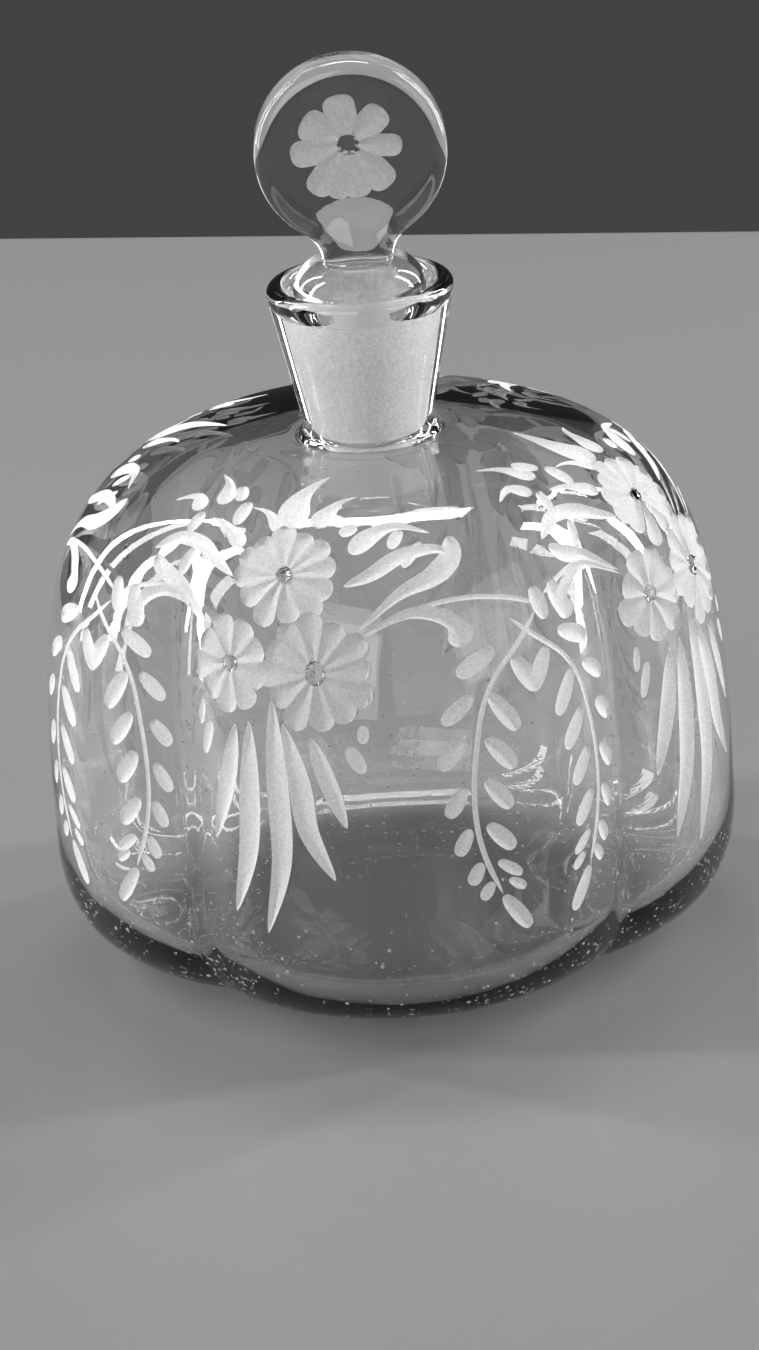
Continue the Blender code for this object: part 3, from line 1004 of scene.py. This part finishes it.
def make_stopper(glass):
    """Turned plug, collar and dome, joined to the finial by a belt round the shank."""
    top = PLUG_TOP + COLLAR_UNDERSIDE + COLLAR_RIM + DOME_HEIGHT + 0.5
    tip, plug, above = stopper_profile(top)
    build = Build()
    build.add(*turned_rows(tip, PLUG_STEPS), mark="ground")
    build.add(*turned_rows(plug, PLUG_STEPS), mark="ground")
    build.add(*turned_rows(above, PLUG_STEPS))
    lower = build.mesh("stopper_lower")
    shape = finial_skin(top + 0.35)
    shape.from_mesh(lower)
    rims = [e for e in shape.edges if e.is_boundary]
    bmesh.ops.bridge_loops(shape, edges=rims)
    bmesh.ops.recalc_face_normals(shape, faces=shape.faces)
    mesh = bpy.data.meshes.new("stopper_glass")
    shape.to_mesh(mesh)
    shape.free()
    for material in glass:
        mesh.materials.append(material)
    finish = np.zeros(len(mesh.polygons), int)
    for i, mark in enumerate(MARKS):
        marked = np.zeros(len(mesh.polygons), bool)
        mesh.attributes[mark].data.foreach_get("value", marked)
        finish[marked] = i + 1
    mesh.polygons.foreach_set("material_index", finish)
    edge_breaks(mesh)
    return new_object("stopper_glass", mesh)


# ---------------------------------------------------------------- stage, light and camera

def make_table():
    """A pale table top whose back edge lies behind the bottle."""
    bpy.ops.mesh.primitive_cube_add(size=1.0)
    table = bpy.context.object
    table.name = "table_top"
    shape = Matrix.Translation((0.0, -0.115, -0.0101)) @ Matrix.Diagonal((1.6, 0.97, 0.02, 1.0))
    table.data.transform(Matrix.Rotation(math.radians(-11.6), 4, "Z") @ shape)
    edge = table.modifiers.new("rounded_edge", "BEVEL")
    edge.width = 0.006
    edge.segments = 4
    table.data.materials.append(pale_table(0.2))


def softbox(name, place, aim, size, power):
    """A rectangular studio lamp that faces its aim."""
    light = bpy.data.lights.new(name, "AREA")
    light.shape = "RECTANGLE"
    light.size, light.size_y = size
    light.energy = power
    lamp = bpy.data.objects.new(name, light)
    lamp.location = place
    lamp.rotation_euler = (Vector(aim) - Vector(place)).to_track_quat("-Z", "Y").to_euler()
    bpy.context.scene.collection.objects.link(lamp)


def make_light():
    world = bpy.data.worlds.new("studio")
    world.use_nodes = True
    world.node_tree.nodes["Background"].inputs["Color"].default_value = (0.055, 0.056, 0.058, 1.0)
    scene = bpy.context.scene
    scene.world = world
    scene.view_settings.view_transform = "Standard"
    middle = (0.0, 0.0, 0.06)
    softbox("overhead", (0.0, 0.35, 0.95), middle, (0.55, 0.14), 4.0)
    softbox("left_strip", (-0.8, 0.05, 0.40), middle, (0.08, 0.9), 6.0)
    softbox("right_strip", (0.8, 0.15, 0.40), middle, (0.08, 0.9), 6.0)
    softbox("left_back_strip", (-0.68, 0.42, 0.40), middle, (0.05, 0.9), 4.5)
    softbox("right_back_strip", (0.70, 0.50, 0.40), middle, (0.05, 0.9), 4.5)
    softbox("front_key", (-0.60, -1.15, 0.60), middle, (1.1, 1.0), 9.0)
    softbox("right_fill", (1.0, -0.75, 0.55), middle, (0.9, 0.9), 4.5)


def make_camera():
    """Looks down at the bottle from the front, leaning a little to one side."""
    distance, height = 1.100, 0.055
    down, lean = math.radians(19.6), math.radians(3.95)
    camera = bpy.data.cameras.new("camera")
    camera.sensor_width = 36.0
    camera.lens = 191.75
    camera.shift_x = -0.001
    camera.shift_y = -0.0616
    camera.clip_start = 0.05
    right = Vector((1.0, 0.0, 0.0))
    up = Vector((0.0, math.sin(down), math.cos(down)))
    back = Vector((0.0, -math.cos(down), math.sin(down)))
    leaned_right = right * math.cos(lean) - up * math.sin(lean)
    leaned_up = right * math.sin(lean) + up * math.cos(lean)
    turn = Matrix((leaned_right, leaned_up, back)).transposed().to_4x4()
    stand = bpy.data.objects.new("camera", camera)
    stand.matrix_world = Matrix.Translation(Vector((0, 0, height)) + back * distance) @ turn
    bpy.context.scene.collection.objects.link(stand)
    bpy.context.scene.camera = stand


make_camera()
make_light()
make_table()
clear = polished_glass("clear_glass")
cut = engraved_glass("engraved_glass", 0.93, 0.25)
# petal cuts get the engraved glass darker (tone 0.74 against 0.93): painted shade in place of the shading
# their hollows would cast
petals = engraved_glass("petal_glass_painted_shade", 0.74, 0.25)
bore = engraved_glass("ground_bore", 0.98, 0.06)
plug = engraved_glass("ground_plug", 0.92, 0.7)
# the bubbles are pale matt glass: a painted glint for the light a real bubble reflects
painted_glint_bubble = engraved_glass("painted_glint_bubble", 0.95, 0.2)
lobes = lobe_tree()
bottle = make_bottle(lobes, (clear, cut, petals, bore))
seeds = make_seeds(lobes, clear, painted_glint_bubble)
stopper = make_stopper((clear, cut, petals, plug))
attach(bottle, "bottle")
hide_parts("bottle")
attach(seeds, "bottle")
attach(stopper, "stopper")
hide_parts("stopper")
